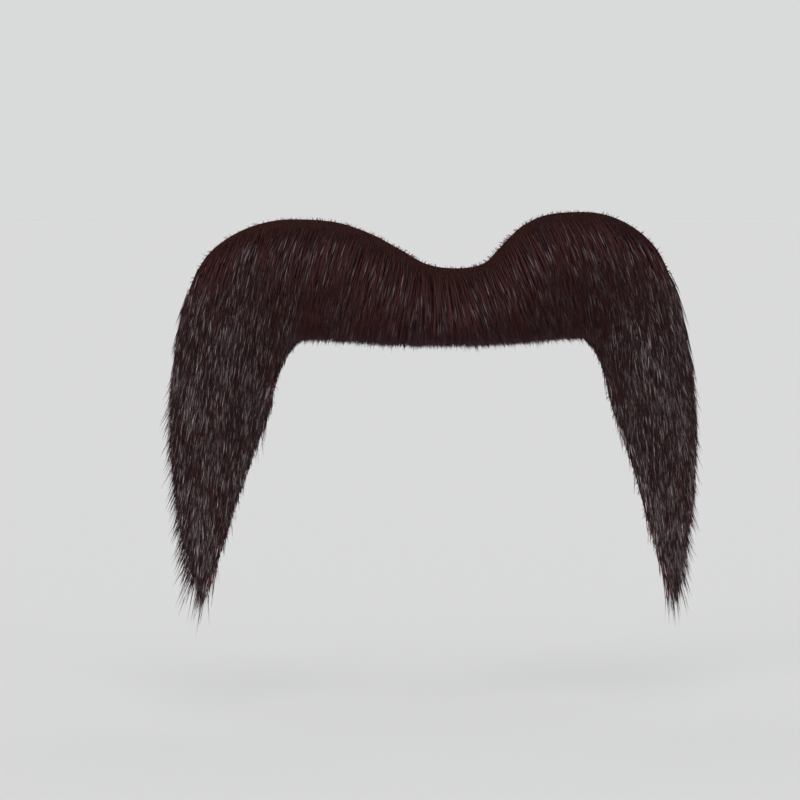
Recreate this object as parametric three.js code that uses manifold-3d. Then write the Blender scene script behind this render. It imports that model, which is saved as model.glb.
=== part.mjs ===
// A horseshoe moustache of pile fabric, in the shape it takes on a face.
// X runs across the face, Z up and -Y out of the face. The origin is on the skin, in the middle of the upper lip.
import * as THREE from "three";
import { mergeVertices } from "three/addons/utils/BufferGeometryUtils.js";
import Module from "manifold-3d";

const wasm = await Module();
wasm.setup();

// Outline of the cloth seen from the front, in millimetres
const halfWidth = 46.4; // centre line to the outer edge of an arm
const mouthHalfWidth = 31.1; // centre line to the inner edge of an arm
const footAcross = 42.6; // centre line to the foot of an arm
const leftHumpHeight = 15.6; // origin up to the top of the hump on the -X side
const rightHumpHeight = 16.8; // origin up to the top of the hump on the +X side
const dipHeight = 7; // origin up to the notch under the nose
const dipAcross = 2; // how far the notch lies from the centre line, towards +X
const lipDrop = 3.9; // origin down to the edge over the lips
const armDrop = 46.5; // origin down to the foot of an arm
const footShift = 1.3; // how far both feet lie towards +X, because the whole outline leans

// Shape of the face that the cloth lies on
const sideDepth = 23; // how far the skin at halfWidth lies behind the upper lip
const humpLean = 1.5; // how far the skin falls back up to the top of the right hump
const armLean = 4; // how far the skin falls back down to the foot of an arm

// Layers, from the skin outwards
const filmThickness = 0.6; // adhesive
const clothThickness = 1.2; // knitted ground of the pile fabric
const layerGap = 0.3; // clearance between two layers
const filmShare = 0.7; // the adhesive's width as a share of the cloth's
const filmEnd = 0.06; // share of the band's run that stays bare at each foot

// Fur
const matEdgeHeight = 1.3; // height of the root mat at its edges
const matHeight = 2.4; // height of the root mat along the middle of the band
const pileHeight = 6.2; // height of the locks along the middle of the band
const pileEdgeHeight = 2.6; // height of the locks at the edges
const lipEdgeHeight = 4.6; // height of the locks at the edge over the lips, where they hang free
const lipEdgeFade = 7; // distance from a corner of the mouth over which the edge gains that height
const pileFall = 8; // distance from an edge over which the pile gains its height
const edgeSpread = 0.8; // how far the fur stands past the cloth's edges
const lipOverhang = 1.6; // how much further it hangs past an edge that faces down
const leftTipOverhang = 8.5; // how far the last hairs hang below the foot on the -X side
const rightTipOverhang = 11.8; // the same on the +X side
const lockProud = 0.5; // how far a lock's side may stand past the fur's outline
const lockLength = 12;
const lockShortest = 4; // a lock trimmed shorter than this is left out
const lockWidth = 5.4;
const lockThickness = 3;
const lockPitch = 4.5; // from one lock to the next in a row
const rowStep = 5.5; // from one row of locks to the next
const rowInset = 1.5; // from the top of a hump to the first row
const rootHeight = 1; // height of a lock's crest at its root
const rootDepth = 0.4; // height of a lock's underside, inside the root mat
const lockUnevenness = 0.7; // how far a lock's root lies from its place in the row
const rowTurn = 3; // radians by which that unevenness turns from one row to the next
const columnTurn = 5; // radians by which it turns from one lock to the next
const upperFlare = 0.2; // how far a hair above the mouth leans outwards for each unit that it drops
const tipwardDrop = 22.5; // drop below the origin over which the hairs turn towards the tip of their arm

// A lock's width as a share of lockWidth is the sine of an angle that grows from its root to its end, in half turns
const rootAngle = 0.24;
const endAngle = 0.93;
const lockRise = 0.7; // power by which a lock's crest rises along it, where less than 1 rises early

// Fineness of the surfaces
const stations = 44; // along the band, foot to foot
const clothLanes = 3; // across the band
const matLanes = 4;
const lockRings = 4;
const lockSides = 5;
const lockStep = 0.5; // between two places on a lock's way
const slopeStep = 0.01; // over which the slope of the skin is taken

// The edges of the band, a row for each section from the centre line to a foot. Each value is a share of the size
// that heads its column: across of halfWidth, mouth of mouthHalfWidth, foot of footAcross, dip of dipHeight and
// dipAcross, hump of the hump height on its side, lip of lipDrop and drop of armDrop.
const outerEdge = [
  { across: 0, foot: 0, dip: 1, hump: 0, drop: 0 },
  { across: 0.106, foot: 0, dip: 0.9, hump: 0.09, drop: 0 },
  { across: 0.19, foot: 0, dip: 0.6, hump: 0.39, drop: 0 },
  { across: 0.277, foot: 0, dip: 0.25, hump: 0.72, drop: 0 },
  { across: 0.383, foot: 0, dip: 0, hump: 0.96, drop: 0 },
  { across: 0.51, foot: 0, dip: 0, hump: 1, drop: 0 },
  { across: 0.634, foot: 0, dip: 0, hump: 0.975, drop: 0 },
  { across: 0.755, foot: 0, dip: 0, hump: 0.845, drop: 0 },
  { across: 0.86, foot: 0, dip: 0, hump: 0.61, drop: 0 },
  { across: 0.923, foot: 0, dip: 0, hump: 0.3, drop: 0 },
  { across: 0.95, foot: 0, dip: 0, hump: 0, drop: 0.01 },
  { across: 0.973, foot: 0, dip: 0, hump: 0, drop: 0.16 },
  { across: 0.99, foot: 0, dip: 0, hump: 0, drop: 0.333 },
  { across: 1, foot: 0, dip: 0, hump: 0, drop: 0.51 },
  { across: 0.99, foot: 0, dip: 0, hump: 0, drop: 0.68 },
  { across: 0.75, foot: 0.25, dip: 0, hump: 0, drop: 0.85 },
  { across: 0.3, foot: 0.7, dip: 0, hump: 0, drop: 1 },
];
const innerEdge = [
  { mouth: 0, foot: 0, lip: 1, drop: 0 },
  { mouth: 0.17, foot: 0, lip: 1, drop: 0 },
  { mouth: 0.31, foot: 0, lip: 0.96, drop: 0 },
  { mouth: 0.43, foot: 0, lip: 0.9, drop: 0 },
  { mouth: 0.57, foot: 0, lip: 0.82, drop: 0 },
  { mouth: 0.71, foot: 0, lip: 0.77, drop: 0 },
  { mouth: 0.8, foot: 0, lip: 0.78, drop: 0.015 },
  { mouth: 0.875, foot: 0, lip: 0.72, drop: 0.07 },
  { mouth: 0.93, foot: 0, lip: 0.5, drop: 0.157 },
  { mouth: 0.975, foot: 0, lip: 0.2, drop: 0.26 },
  { mouth: 1, foot: 0, lip: 0, drop: 0.367 },
  { mouth: 0.85, foot: 0.15, lip: 0, drop: 0.467 },
  { mouth: 0.7, foot: 0.3, lip: 0, drop: 0.567 },
  { mouth: 0.54, foot: 0.46, lip: 0, drop: 0.678 },
  { mouth: 0.39, foot: 0.61, lip: 0, drop: 0.8 },
  { mouth: 0.25, foot: 0.75, lip: 0, drop: 0.911 },
  { mouth: 0.11, foot: 0.89, lip: 0, drop: 1 },
];

// The two sizes that differ between the sides, where side is -1 on the left and 1 on the right
function humpHeightOn(side) {
  return side < 0 ? leftHumpHeight : rightHumpHeight;
}

function tipOverhangOn(side) {
  return side < 0 ? leftTipOverhang : rightTipOverhang;
}

// A place of the upright outline, moved as the whole outline leans
function leaned(x, z) {
  return new THREE.Vector2(x - (footShift * z) / armDrop, z);
}

// A whole edge as a smooth curve from the left foot to the right foot, where halfEdge gives one side's points
function edgeCurve(halfEdge) {
  const leftHalf = halfEdge(-1).slice(1).reverse();
  return new THREE.SplineCurve([...leftHalf, ...halfEdge(1)]);
}

function outerCurve() {
  return edgeCurve((side) =>
    outerEdge.map((row) => {
      const across = row.across * halfWidth + row.foot * footAcross;
      const height = row.dip * dipHeight + row.hump * humpHeightOn(side) - row.drop * armDrop;
      return leaned(side * across + row.dip * dipAcross, height);
    }),
  );
}

function innerCurve() {
  return edgeCurve((side) =>
    innerEdge.map((row) => {
      const across = row.mouth * mouthHalfWidth + row.foot * footAcross;
      return leaned(side * across, -row.lip * lipDrop - row.drop * armDrop);
    }),
  );
}

// Both edges as points at the stations from one share of the run to another
function bandEdges(from = 0, to = 1) {
  const outer = outerCurve();
  const inner = innerCurve();
  const edges = { outer: [], inner: [] };
  for (let i = 0; i <= stations; i++) {
    const run = from + ((to - from) * i) / stations;
    edges.outer.push(outer.getPoint(run));
    edges.inner.push(inner.getPoint(run));
  }
  return edges;
}

// The edges moved outwards by spread, and by hang more where they face down
function spreadEdges(edges, spread, hang) {
  const move = (points, side) =>
    points.map((p, i) => {
      const before = points[Math.max(i - 1, 0)];
      const after = points[Math.min(i + 1, points.length - 1)];
      const out = new THREE.Vector2(before.y - after.y, after.x - before.x);
      out.normalize().multiplyScalar(side);
      const facesDown = Math.max(0, -out.y);
      return p.clone().addScaledVector(out, spread + hang * facesDown ** 2);
    });
  return { outer: move(edges.outer, 1), inner: move(edges.inner, -1) };
}

// Depth of the skin behind the origin, at a place seen from the front
function skinDepth(x, z) {
  const side = sideDepth * (x / halfWidth) ** 2;
  const rise = humpLean * (Math.max(0, z) / rightHumpHeight) ** 2;
  const fall = armLean * (Math.max(0, -z) / armDrop) ** 2;
  return side + rise + fall;
}

// Direction straight out of the skin
function skinNormal(x, z) {
  const slopeX = (skinDepth(x + slopeStep, z) - skinDepth(x - slopeStep, z)) / (2 * slopeStep);
  const slopeZ = (skinDepth(x, z + slopeStep) - skinDepth(x, z - slopeStep)) / (2 * slopeStep);
  return new THREE.Vector3(slopeX, -1, slopeZ).normalize();
}

// The point at a distance out of the skin
function offSkin(x, z, distance) {
  return new THREE.Vector3(x, skinDepth(x, z), z).addScaledVector(
    skinNormal(x, z),
    distance,
  );
}

function geometryFrom(points, triangles) {
  const geometry = new THREE.BufferGeometry().setFromPoints(points);
  geometry.setIndex(triangles.flat());
  return geometry;
}

// A closed layer between two distances from the skin. Each distance is a function of the share across the band.
function layerGeometry(edges, lanes, backAt, frontAt) {
  const points = [];
  for (const distanceAt of [backAt, frontAt]) {
    edges.outer.forEach((outer, i) => {
      for (let lane = 0; lane <= lanes; lane++) {
        const share = lane / lanes;
        const p = outer.clone().lerp(edges.inner[i], share);
        points.push(offSkin(p.x, p.y, distanceAt(share)));
      }
    });
  }
  const row = lanes + 1;
  const front = edges.outer.length * row;
  const triangles = [];
  const quad = (a, b, c, d) => triangles.push([a, b, c], [a, c, d]);
  for (let i = 0; i < edges.outer.length - 1; i++) {
    for (let lane = 0; lane < lanes; lane++) {
      const a = i * row + lane;
      quad(a, a + row, a + row + 1, a + 1);
      quad(front + a, front + a + 1, front + a + row + 1, front + a + row);
    }
    const outer = i * row;
    const inner = outer + lanes;
    quad(outer, front + outer, front + outer + row, outer + row);
    quad(inner, inner + row, front + inner + row, front + inner);
  }
  const last = (edges.outer.length - 1) * row;
  for (let lane = 0; lane < lanes; lane++) {
    quad(lane, lane + 1, front + lane + 1, front + lane);
    quad(last + lane, front + last + lane, front + last + lane + 1, last + lane + 1);
  }
  return geometryFrom(points, triangles);
}

function solidFrom(geometry) {
  const merged = mergeVertices(geometry);
  return new wasm.Manifold(
    new wasm.Mesh({
      numProp: 3,
      vertProperties: merged.attributes.position.array,
      triVerts: new Uint32Array(merged.index.array),
    }),
  );
}

function geometryOf(solid) {
  const mesh = solid.getMesh();
  const geometry = new THREE.BufferGeometry();
  geometry.setAttribute(
    "position",
    new THREE.BufferAttribute(new Float32Array(mesh.vertProperties), mesh.numProp),
  );
  geometry.setIndex(new THREE.BufferAttribute(new Uint32Array(mesh.triVerts), 1));
  return geometry;
}

// A solid with the pockets closed that joining its pieces left inside
function outerShell(solid) {
  const shells = solid.decompose().sort((a, b) => b.volume() - a.volume());
  return shells[0];
}

// The place of the last hairs below a foot
function tipOn(side) {
  return leaned(side * footAcross, -armDrop - tipOverhangOn(side));
}

function furOutline(edges) {
  const fur = spreadEdges(edges, edgeSpread, lipOverhang);
  return [...fur.outer, tipOn(1), ...fur.inner.reverse(), tipOn(-1)];
}

function isInside(outline, x, z) {
  let inside = false;
  outline.forEach((a, i) => {
    const b = outline[(i + 1) % outline.length];
    const crosses = a.y > z !== b.y > z;
    if (crosses && x < a.x + ((z - a.y) / (b.y - a.y)) * (b.x - a.x)) inside = !inside;
  });
  return inside;
}

// Distance from a place to the nearest side of an outline
function distanceTo(outline, x, z) {
  const place = new THREE.Vector3(x, z, 0);
  const nearest = new THREE.Vector3();
  let least = Infinity;
  outline.forEach((a, i) => {
    const b = outline[(i + 1) % outline.length];
    const side = new THREE.Line3(
      new THREE.Vector3(a.x, a.y, 0),
      new THREE.Vector3(b.x, b.y, 0),
    );
    side.closestPointToPoint(place, true, nearest);
    least = Math.min(least, nearest.distanceTo(place));
  });
  return least;
}

// The way a hair runs, seen from the front: down, outwards above the mouth, and towards the tip on an arm
function hairDirection(x, z) {
  const side = Math.sign(x);
  const flare = side * upperFlare * Math.min(1, Math.abs(x) / mouthHalfWidth);
  const above = new THREE.Vector2(flare, -1).normalize();
  const onArm = THREE.MathUtils.smoothstep(-z, 0, tipwardDrop);
  const towardsTip = tipOn(side).sub(new THREE.Vector2(x, z)).normalize();
  return above.lerp(towardsTip, onArm).normalize();
}

// A lock's places from its root to where it is trimmed
function lockRoute(outline, root) {
  const place = root.clone();
  const route = [place.clone()];
  while ((route.length - 1) * lockStep < lockLength) {
    place.addScaledVector(hairDirection(place.x, place.y), lockStep);
    if (!isInside(outline, place.x, place.y)) break;
    route.push(place.clone());
  }
  return route;
}

// Height of the pile above the cloth, at a distance from the fur's outline
function pileHeightAt(x, z, distance) {
  const overMouth = z < 0 ? THREE.MathUtils.smoothstep(mouthHalfWidth - Math.abs(x), 0, lipEdgeFade) : 0;
  const edgeHeight = THREE.MathUtils.lerp(pileEdgeHeight, lipEdgeHeight, overMouth);
  const share = Math.min(1, distance / pileFall);
  return THREE.MathUtils.lerp(edgeHeight, pileHeight, Math.sin((share * Math.PI) / 2));
}

// A flat lock that rises from the root mat and lies over the one below. It keeps within the outline to lockProud.
function lockGeometry(outline, route, cloth) {
  const whole = Math.round(lockLength / lockStep);
  const points = [];
  for (let ring = 0; ring < lockRings; ring++) {
    const place = route[Math.round((ring / (lockRings - 1)) * (route.length - 1))];
    const share = route.indexOf(place) / whole;
    const along = hairDirection(place.x, place.y);
    const distance = distanceTo(outline, place.x, place.y);
    const angle = THREE.MathUtils.lerp(rootAngle, endAngle, share) * Math.PI;
    const fullness = Math.sin(angle);
    const halfWide = Math.min((fullness * lockWidth) / 2, distance + lockProud);
    const pile = pileHeightAt(place.x, place.y, distance);
    const crest = THREE.MathUtils.lerp(rootHeight, pile, share ** lockRise);
    for (let side = 0; side < lockSides; side++) {
      const turn = (side / lockSides + 0.25) * 2 * Math.PI;
      const across = Math.cos(turn) * halfWide;
      const below = ((1 - Math.sin(turn)) * fullness * lockThickness) / 2;
      const height = Math.max(rootDepth, crest - below);
      points.push(offSkin(place.x - along.y * across, place.y + along.x * across, cloth + height));
    }
  }
  const triangles = [];
  const lastRing = (lockRings - 1) * lockSides;
  for (let side = 0; side < lockSides; side++) {
    const next = (side + 1) % lockSides;
    for (let ring = 0; ring < lastRing; ring += lockSides) {
      const [a, b] = [ring + side, ring + next];
      triangles.push([a, b, a + lockSides], [b, b + lockSides, a + lockSides]);
    }
    if (side > 1) triangles.push([0, side, side - 1], [lastRing, lastRing + side - 1, lastRing + side]);
  }
  return geometryFrom(points, triangles);
}

// Roots of the locks: one above each foot, the rest in staggered and slightly uneven rows inside the cloth's outline
function lockRoots(clothOutline) {
  const roots = [];
  for (const side of [1, -1]) {
    roots.push(leaned(side * footAcross, rowInset - armDrop));
    const top = humpHeightOn(side) - rowInset;
    for (let row = 0; top - row * rowStep > -armDrop; row++) {
      const stagger = row % 2 ? lockPitch / 2 : 0;
      const isCentral = stagger === 0 && side < 0;
      for (let column = isCentral ? 1 : 0; stagger + column * lockPitch < halfWidth; column++) {
        const turn = rowTurn * row + columnTurn * column + side;
        const x = side * (stagger + column * lockPitch) + lockUnevenness * Math.cos(2 * turn);
        const z = top - row * rowStep + lockUnevenness * Math.sin(turn);
        if (isInside(clothOutline, x, z)) roots.push(new THREE.Vector2(x, z));
      }
    }
  }
  return roots;
}

function furGeometry(edges, cloth) {
  const matHeightAt = (share) =>
    cloth + THREE.MathUtils.lerp(matEdgeHeight, matHeight, Math.sin(share * Math.PI));
  const matEdges = spreadEdges(edges, edgeSpread, 0);
  let fur = solidFrom(layerGeometry(matEdges, matLanes, () => cloth, matHeightAt));
  const outline = furOutline(edges);
  const clothOutline = [...edges.outer, ...[...edges.inner].reverse()];
  for (const root of lockRoots(clothOutline)) {
    const route = lockRoute(outline, root);
    if ((route.length - 1) * lockStep < lockShortest) continue;
    fur = fur.add(solidFrom(lockGeometry(outline, route, cloth)));
  }
  return geometryOf(outerShell(fur));
}

function meshOf(name, geometry, look) {
  const mesh = new THREE.Mesh(geometry, new THREE.MeshStandardMaterial(look));
  mesh.name = name;
  return mesh;
}

const edges = bandEdges();
const filmEdges = bandEdges(filmEnd, 1 - filmEnd);
const bare = (1 - filmShare) / 2;
const narrow = (a, b) => a.map((p, i) => p.clone().lerp(b[i], bare));
const filmBand = {
  outer: narrow(filmEdges.outer, filmEdges.inner),
  inner: narrow(filmEdges.inner, filmEdges.outer),
};
const clothBack = filmThickness + layerGap;
const clothFront = clothBack + clothThickness;
const furBack = clothFront + layerGap;

const moustache = new THREE.Group();
moustache.add(
  meshOf(
    "adhesive_film",
    layerGeometry(filmBand, clothLanes, () => 0, () => filmThickness),
    { color: 0xd9d3c4, roughness: 0.35, metalness: 0 },
  ),
  meshOf(
    "backing_cloth",
    layerGeometry(edges, clothLanes, () => clothBack, () => clothFront),
    { color: 0x1d1412, roughness: 0.9, metalness: 0 },
  ),
  meshOf("fur_pile", furGeometry(edges, furBack), {
    color: 0x2b1a19,
    roughness: 0.6,
    metalness: 0,
  }),
);

export default moustache;
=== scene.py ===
import math

import bpy
import numpy as np
from mathutils import Matrix, Vector


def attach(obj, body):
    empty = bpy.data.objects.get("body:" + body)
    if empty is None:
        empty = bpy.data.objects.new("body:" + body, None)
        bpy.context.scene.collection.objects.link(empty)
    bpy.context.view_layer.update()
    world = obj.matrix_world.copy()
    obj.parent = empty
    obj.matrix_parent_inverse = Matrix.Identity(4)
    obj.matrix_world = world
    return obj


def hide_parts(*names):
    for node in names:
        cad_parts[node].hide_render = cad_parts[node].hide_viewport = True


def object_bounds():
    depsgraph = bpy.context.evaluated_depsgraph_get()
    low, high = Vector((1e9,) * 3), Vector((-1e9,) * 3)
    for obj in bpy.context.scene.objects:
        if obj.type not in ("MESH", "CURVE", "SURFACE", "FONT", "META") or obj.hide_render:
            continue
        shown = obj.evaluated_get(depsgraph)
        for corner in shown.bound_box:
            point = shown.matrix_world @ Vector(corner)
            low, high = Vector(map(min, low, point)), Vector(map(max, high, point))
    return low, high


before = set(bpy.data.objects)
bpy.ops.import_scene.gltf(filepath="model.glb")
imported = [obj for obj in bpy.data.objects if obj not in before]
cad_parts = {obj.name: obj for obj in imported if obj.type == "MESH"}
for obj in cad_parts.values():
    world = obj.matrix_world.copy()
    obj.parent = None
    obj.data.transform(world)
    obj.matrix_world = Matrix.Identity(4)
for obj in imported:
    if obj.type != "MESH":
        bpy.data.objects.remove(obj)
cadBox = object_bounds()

mm = 0.001
tiny = 1e-9  # keeps a sum from dividing by nothing

# The band's outline and the face under it, with the part's own sizes
band = {
    "halfWidth": 46.4 * mm,  # centre line to the outer edge of an arm
    "mouthHalfWidth": 31.1 * mm,
    "footAcross": 42.6 * mm,
    "leftHumpHeight": 15.6 * mm,  # left is at -X
    "rightHumpHeight": 16.8 * mm,
    "dipHeight": 7 * mm,
    "dipAcross": 2 * mm,  # how far the notch lies towards +X
    "lipDrop": 3.9 * mm,
    "armDrop": 46.5 * mm,
    "footShift": 1.3 * mm,  # how far the outline leans towards +X down to its feet
    "sideDepth": 23 * mm,  # how far the skin falls back at halfWidth
    "humpLean": 1.5 * mm,
    "armLean": 4 * mm,
    "filmThickness": 0.6 * mm,
    "clothThickness": 1.2 * mm,
    "layerGap": 0.3 * mm,
    "filmShare": 0.7,  # of the cloth's width
    "filmEnd": 0.06,  # share of the run left bare at each foot
    "edgeSpread": 0.8 * mm,  # how far the fur stands past the cloth
    "lipOverhang": 1.6 * mm,
    "leftTipOverhang": 8.5 * mm,
    "rightTipOverhang": 11.8 * mm,
    "outlinePoints": 133,  # on each of the two edges, as the outline is measured
}

# Shares of the sizes above, a column for each size and a row for each section from the centre line to a foot
outerShares = {
    "halfWidth": [0, .106, .19, .277, .383, .51, .634, .755, .86, .923, .95, .973, .99, 1, .99, .75, .3],
    "footAcross": [0, 0, 0, 0, 0, 0, 0, 0, 0, 0, 0, 0, 0, 0, 0, .25, .7],
    "dipHeight": [1, .9, .6, .25, 0, 0, 0, 0, 0, 0, 0, 0, 0, 0, 0, 0, 0],
    "humpHeight": [0, .09, .39, .72, .96, 1, .975, .845, .61, .3, 0, 0, 0, 0, 0, 0, 0],
    "armDrop": [0, 0, 0, 0, 0, 0, 0, 0, 0, 0, .01, .16, .333, .51, .68, .85, 1],
}
innerShares = {
    "mouthHalfWidth": [0, .17, .31, .43, .57, .71, .8, .875, .93, .975, 1, .85, .7, .54, .39, .25, .11],
    "footAcross": [0, 0, 0, 0, 0, 0, 0, 0, 0, 0, 0, .15, .3, .46, .61, .75, .89],
    "lipDrop": [1, 1, .96, .9, .82, .77, .78, .72, .5, .2, 0, 0, 0, 0, 0, 0, 0],
    "armDrop": [0, 0, 0, 0, 0, 0, .015, .07, .157, .26, .367, .467, .567, .678, .8, .911, 1],
}
acrossSizes = ("halfWidth", "mouthHalfWidth", "footAcross")
dropSizes = ("lipDrop", "armDrop")


def leaned(across, height):
    # Places of the upright outline, moved as the whole outline leans
    return np.column_stack([across - band["footShift"] * height / band["armDrop"], height])


def halfEdge(shares, sideName, side):
    # Places from the centre line to a foot, worked out from the table's columns
    sizes = dict(band, humpHeight=band[sideName + "HumpHeight"])
    lengths = {name: np.array(column) * sizes[name] for name, column in shares.items()}
    across = side * sum(lengths[name] for name in lengths if name in acrossSizes)
    across = across + band["dipAcross"] * np.array(shares.get("dipHeight", 0))
    down = sum(lengths[name] for name in lengths if name in dropSizes)
    up = sum(lengths[name] for name in lengths if name not in acrossSizes + dropSizes)
    return leaned(across, up - down)


def wholeEdge(shares):
    return np.vstack([halfEdge(shares, "left", -1)[:0:-1], halfEdge(shares, "right", 1)])


def curveThrough(points, at):
    # A smooth curve through all the points, read at shares of its run
    last = len(points) - 1
    spot = np.clip(at, 0, 1) * last
    i = np.minimum(spot.astype(int), last - 1)
    w = (spot - i)[:, None]
    a, b = points[np.maximum(i - 1, 0)], points[i]
    c, d = points[i + 1], points[np.minimum(i + 2, last)]
    leave, arrive = (c - a) / 2, (d - b) / 2
    cubic = 2 * b - 2 * c + leave + arrive
    square = 3 * c - 3 * b - 2 * leave - arrive
    return cubic * w**3 + square * w**2 + leave * w + b


outerPoints = wholeEdge(outerShares)
innerPoints = wholeEdge(innerShares)


def placeOnBand(run, share):
    # A place on the band: run goes from the left foot to the right, share from the outer edge to the inner
    outer = curveThrough(outerPoints, run)
    inner = curveThrough(innerPoints, run)
    return outer + (inner - outer) * share[:, None]


def spreadEdge(points, side, spread, hang):
    # An edge moved outwards, and further where it faces down
    before = np.vstack([points[:1], points[:-1]])
    after = np.vstack([points[1:], points[-1:]])
    out = np.column_stack([before[:, 1] - after[:, 1], after[:, 0] - before[:, 0]]) * side
    out /= np.linalg.norm(out, axis=1)[:, None]
    facesDown = np.maximum(0, -out[:, 1])
    return points + out * (spread + hang * facesDown**2)[:, None]


outlineRuns = np.linspace(0, 1, band["outlinePoints"])
outerEdge = curveThrough(outerPoints, outlineRuns)
innerEdge = curveThrough(innerPoints, outlineRuns)
clothOutline = np.vstack([outerEdge, innerEdge[::-1]])
furOuter = spreadEdge(outerEdge, 1, band["edgeSpread"], band["lipOverhang"])
furInner = spreadEdge(innerEdge, -1, band["edgeSpread"], band["lipOverhang"])
leftTip = leaned([-band["footAcross"]], -band["armDrop"] - np.array([band["leftTipOverhang"]]))
rightTip = leaned([band["footAcross"]], -band["armDrop"] - np.array([band["rightTipOverhang"]]))
furOutline = np.vstack([furOuter, rightTip, furInner[::-1], leftTip])


def skinDepth(x, z):
    side = band["sideDepth"] * (x / band["halfWidth"]) ** 2
    rise = band["humpLean"] * (np.maximum(0, z) / band["rightHumpHeight"]) ** 2
    fall = band["armLean"] * (np.maximum(0, -z) / band["armDrop"]) ** 2
    return side + rise + fall


def skinNormal(x, z, step=1e-5):
    slopeX = (skinDepth(x + step, z) - skinDepth(x - step, z)) / (2 * step)
    slopeZ = (skinDepth(x, z + step) - skinDepth(x, z - step)) / (2 * step)
    normal = np.stack([slopeX, -np.ones_like(slopeX), slopeZ], axis=-1)
    return normal / np.linalg.norm(normal, axis=-1, keepdims=True)


def offSkin(place, height):
    # Points at a height above the skin, over places seen from the front
    x, z = place[..., 0], place[..., 1]
    return np.stack([x, skinDepth(x, z), z], axis=-1) + skinNormal(x, z) * height[..., None]


def sides(outline):
    return zip(outline, np.roll(outline, -1, axis=0))


def isInside(outline, place):
    x, z = place[:, 0], place[:, 1]
    inside = np.zeros(len(place), bool)
    for a, b in sides(outline):
        if a[1] != b[1]:
            crosses = (a[1] > z) != (b[1] > z)
            inside ^= crosses & (x < a[0] + (z - a[1]) * (b[0] - a[0]) / (b[1] - a[1]))
    return inside


def distanceTo(outline, place):
    least = np.full(len(place), np.inf)
    for a, b in sides(outline):
        along = b - a
        share = np.clip(((place - a) @ along) / max(along @ along, tiny**2), 0, 1)
        least = np.minimum(least, np.linalg.norm(place - a - share[:, None] * along, axis=1))
    return least


def depthMap(outline, cell=0.4 * mm, margin=9 * mm):
    # How far inside an outline a place lies, worked out once on a grid and read between its points
    low = outline.min(axis=0) - margin
    counts = np.ceil((outline.max(axis=0) + margin - low) / cell).astype(int) + 1
    grid = np.stack(np.meshgrid(*(np.arange(n) for n in counts), indexing="ij"), axis=-1).reshape(-1, 2)
    place = low + grid * cell
    depth = distanceTo(outline, place) * np.where(isInside(outline, place), 1, -1)
    table = depth.reshape(counts)

    def read(place):
        spot = (place - low) / cell
        i = np.clip(spot.astype(int), 0, counts - 2)
        w = np.clip(spot - i, 0, 1)
        x, z, u, v = i[..., 0], i[..., 1], w[..., 0], w[..., 1]
        near = table[x, z] * (1 - v) + table[x, z + 1] * v
        far = table[x + 1, z] * (1 - v) + table[x + 1, z + 1] * v
        return near * (1 - u) + far * u

    return read


print("Measuring the outlines")
clothDepth = depthMap(clothOutline)
furDepth = depthMap(furOutline)
clothBack = band["filmThickness"] + band["layerGap"]
clothFront = clothBack + band["clothThickness"]
furBack = clothFront + band["layerGap"]


def smoothStep(value, start, end):
    share = np.clip((value - start) / (end - start), 0, 1)
    return share * share * (3 - 2 * share)


def towardsEdge(place, step=0.3 * mm):
    # Direction from a place to the nearest edge of the cloth
    right, up = np.array([step, 0]), np.array([0, step])
    slope = np.stack([clothDepth(place - right) - clothDepth(place + right),
                      clothDepth(place - up) - clothDepth(place + up)], axis=-1)
    return slope / np.maximum(np.linalg.norm(slope, axis=-1, keepdims=True), tiny)


class Wire:
    # A node's output that can be used in sums
    def __init__(self, graph, socket):
        self.graph = graph
        self.socket = socket

    def sum(self, operation, a, b):
        return self.graph.node("ShaderNodeMath", {"operation": operation}, {0: a, 1: b})

    def __add__(self, other):
        return self.sum("ADD", self, other)

    def __radd__(self, other):
        return self.sum("ADD", other, self)

    def __sub__(self, other):
        return self.sum("SUBTRACT", self, other)

    def __rsub__(self, other):
        return self.sum("SUBTRACT", other, self)

    def __mul__(self, other):
        return self.sum("MULTIPLY", self, other)

    def __rmul__(self, other):
        return self.sum("MULTIPLY", other, self)


class Finish:
    # A material and its nodes
    def __init__(self, name):
        self.material = bpy.data.materials.new(name)
        self.material.use_nodes = True
        self.tree = self.material.node_tree
        self.shader = self.tree.nodes["Principled BSDF"]

    def put(self, socket, value):
        if isinstance(value, Wire):
            self.tree.links.new(value.socket, socket)
        elif hasattr(socket.default_value, "__len__") and len(socket.default_value) == 4 and len(value) == 3:
            socket.default_value = (*value, 1)
        else:
            socket.default_value = value

    def node(self, kind, settings, values, output=0):
        node = self.tree.nodes.new(kind)
        for name, value in settings.items():
            if name == "stops":
                ramp = node.color_ramp.elements
                while len(ramp) < len(value):
                    ramp.new(1)
                for stop, (position, colour) in zip(ramp, value):
                    stop.position = position
                    stop.color = (*colour, 1)
            else:
                setattr(node, name, value)
        for key, value in values.items():
            self.put(node.inputs[key], value)
        return Wire(self, node.outputs[output])

    def mix(self, factor, a, b, blend="MIX"):
        # Mixes two colours
        settings = {"data_type": "RGBA", "blend_type": blend}
        return self.node("ShaderNodeMix", settings, {0: factor, 6: a, 7: b}, 2)

    def surface(self, **values):
        for name, value in values.items():
            self.put(self.shader.inputs[name.replace("_", " ")], value)
        return self.material


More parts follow.
